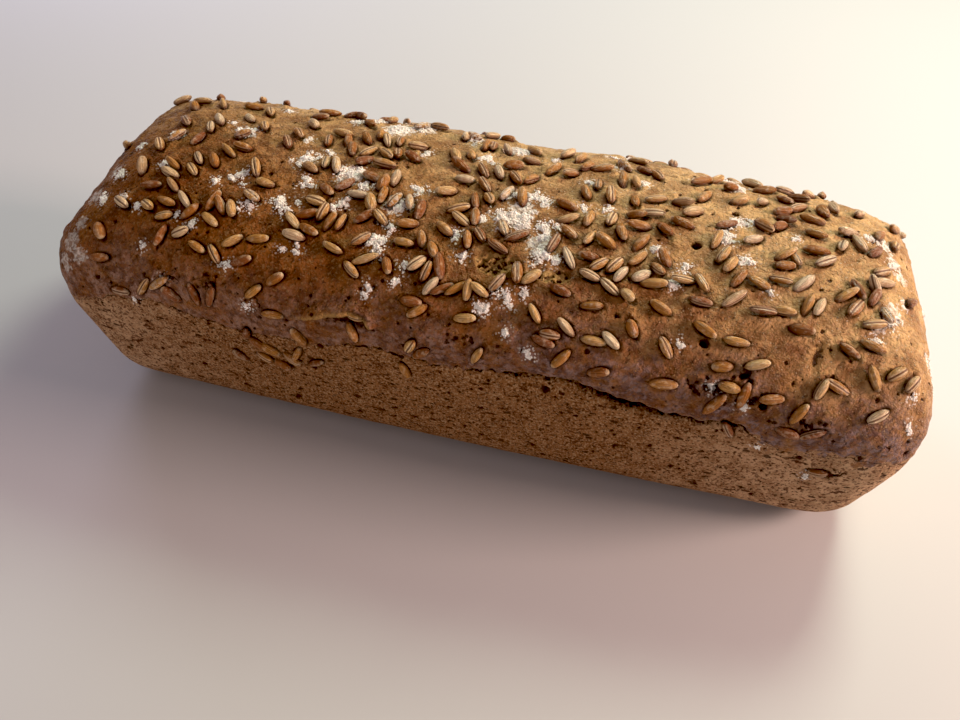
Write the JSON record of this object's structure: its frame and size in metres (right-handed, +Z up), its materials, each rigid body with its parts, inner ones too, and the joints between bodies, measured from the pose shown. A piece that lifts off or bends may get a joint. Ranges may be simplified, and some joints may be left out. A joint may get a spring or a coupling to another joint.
{
  "type": "roman army bread",
  "caption": "Long wholemeal spelt loaf baked in a tin, with a domed browned top split along one rim, scattered with whole grains and flour.",
  "frame": {"origin": "centre of the loaf's bounding box, at the level of its flat bottom", "axes": "+X along the loaf, from its left end to its right end as seen from the split side; -Y towards the split front side; +Z up"},
  "size_m": [0.2974, 0.1104, 0.0881],
  "materials": {
    "crust": "matt wholemeal crust, satin where it is darkest",
    "grain": "smooth satin husked spelt grains",
    "flour": "matt loose flour"
  },
  "bodies": {
    "root": {"loaf": "crust"}
  },
  "joints": []
}
